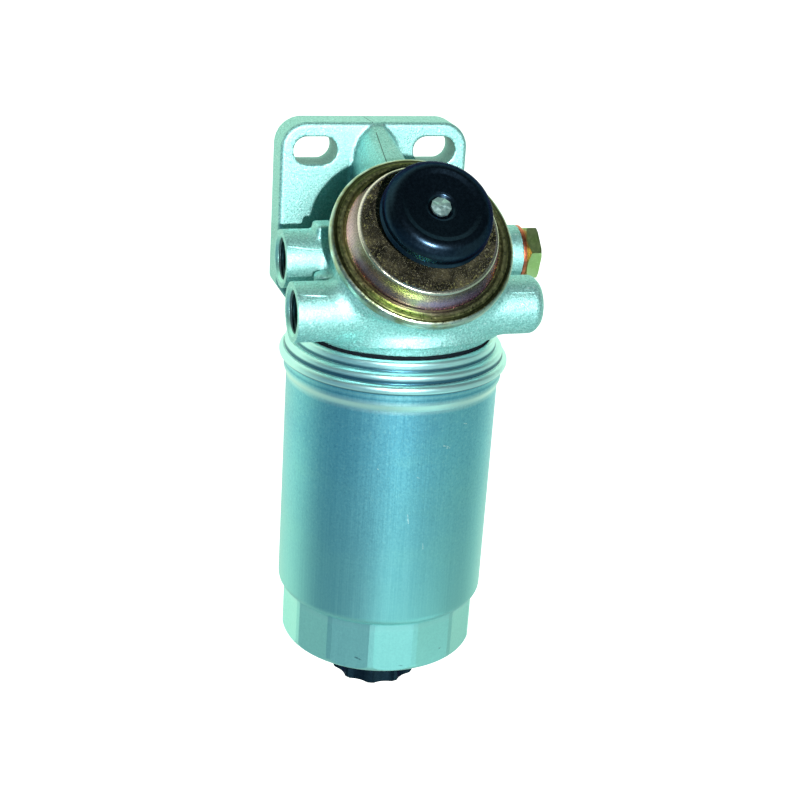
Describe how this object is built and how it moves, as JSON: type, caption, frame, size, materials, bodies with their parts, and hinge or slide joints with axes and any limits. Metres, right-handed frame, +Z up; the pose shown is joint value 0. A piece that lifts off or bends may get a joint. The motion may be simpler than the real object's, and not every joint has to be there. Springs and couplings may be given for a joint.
{
  "type": "fuel filter and water separator head",
  "caption": "Cast head on a slotted mounting plate with side ports, a tilted hand primer pump, and a screw-on filter can with a water drain knob below.",
  "frame": {"origin": "middle of the two mounting slots, on the back face of the mounting plate", "axes": "+Y out of the plate's back face, +Z up along the filter can's axis, +X to the right as seen from the pump side"},
  "size_m": [0.1032, 0.1085, 0.2205],
  "materials": {
    "cast_aluminium": "as die cast, fine grain",
    "plain_steel": "bright zinc",
    "yellow_zinc_steel": "yellow passivated zinc",
    "copper": "soft copper",
    "black_rubber": "matt",
    "white_plastic": "matt",
    "black_plastic": "gloss",
    "spring_steel": "bright wire",
    "valve_plastic": "matt",
    "drawn_metal_lid": "bright pressed sheet",
    "drawn_metal_can": "satin drawn sheet",
    "filter_paper": "pleated paper",
    "plain_brass": "machined"
  },
  "bodies": {
    "head": {"filter_head": "cast_aluminium", "center_stud": "plain_steel", "port_plug": "yellow_zinc_steel", "plug_washer": "copper", "pump_lower_housing": "yellow_zinc_steel", "pump_cover": "yellow_zinc_steel", "pump_gasket": "black_rubber", "pump_screws": "plain_steel", "pump_diaphragm": "black_rubber", "plunger_bush": "white_plastic", "pump_return_spring": "spring_steel", "inlet_valve_body": "plain_steel", "inlet_valve_spring": "spring_steel", "outlet_valve_body": "plain_steel", "outlet_valve_spring": "spring_steel"},
    "pump_button": {"pump_knob": "black_plastic", "plunger_rod": "plain_steel", "diaphragm_plate_upper": "plain_steel", "diaphragm_plate_lower": "plain_steel"},
    "inlet_disc": {"inlet_valve_disc": "valve_plastic"},
    "outlet_disc": {"outlet_valve_disc": "valve_plastic"},
    "gasket_ring": {"sealing_gasket": "black_rubber"},
    "can": {"seaming_lid": "drawn_metal_lid", "filter_can": "drawn_metal_can", "tapping_plate": "plain_steel", "filter_element": "filter_paper", "element_top_cap": "plain_steel", "element_bottom_cap": "plain_steel", "center_tube": "plain_steel", "element_seal": "black_rubber", "element_spring": "spring_steel", "drain_bush": "plain_brass"},
    "drain_seal": {"drain_o_ring": "black_rubber"},
    "drain_valve": {"drain_knob": "black_plastic"}
  },
  "joints": [
    {"name": "pump_stroke", "type": "slide", "parent": "head", "child": "pump_button", "axis": [0, -0.7071, 0.7071], "range_m": [-0.007, 0], "stiffness_N_per_m": 1200, "springref_m": 0.012, "deforming": ["pump_return_spring", "pump_diaphragm"]},
    {"name": "inlet_valve_lift", "type": "slide", "parent": "head", "child": "inlet_disc", "axis": [0, -0.7071, 0.7071], "range_m": [0, 0.001], "stiffness_N_per_m": 10, "springref_m": -0.002, "deforming": ["inlet_valve_spring"]},
    {"name": "outlet_valve_lift", "type": "slide", "parent": "head", "child": "outlet_disc", "axis": [0, -0.7071, 0.7071], "range_m": [-0.001, 0], "stiffness_N_per_m": 10, "springref_m": 0.002, "deforming": ["outlet_valve_spring"]},
    {"name": "can_travel", "type": "slide", "parent": "head", "child": "gasket_ring", "axis": [0, 0, -1], "range_m": [0, 0.0121]},
    {"name": "can_turn", "type": "hinge", "parent": "gasket_ring", "child": "can", "pos_m": [0, -0.05205, -0.07], "axis": [0, 0, -1], "range_deg": [0, 2880]},
    {"name": "drain_travel", "type": "slide", "parent": "can", "child": "drain_seal", "axis": [0, 0, -1], "range_m": [0, 0.0041]},
    {"name": "drain_turn", "type": "hinge", "parent": "drain_seal", "child": "drain_valve", "pos_m": [0, -0.05205, -0.19], "axis": [0, 0, -1], "range_deg": [0, 720]}
  ],
  "couplings": [
    {"joint": "can_travel", "follows": "can_turn", "m_per_rad": 0.00023873},
    {"joint": "drain_travel", "follows": "drain_turn", "m_per_rad": 0.00031831}
  ]
}
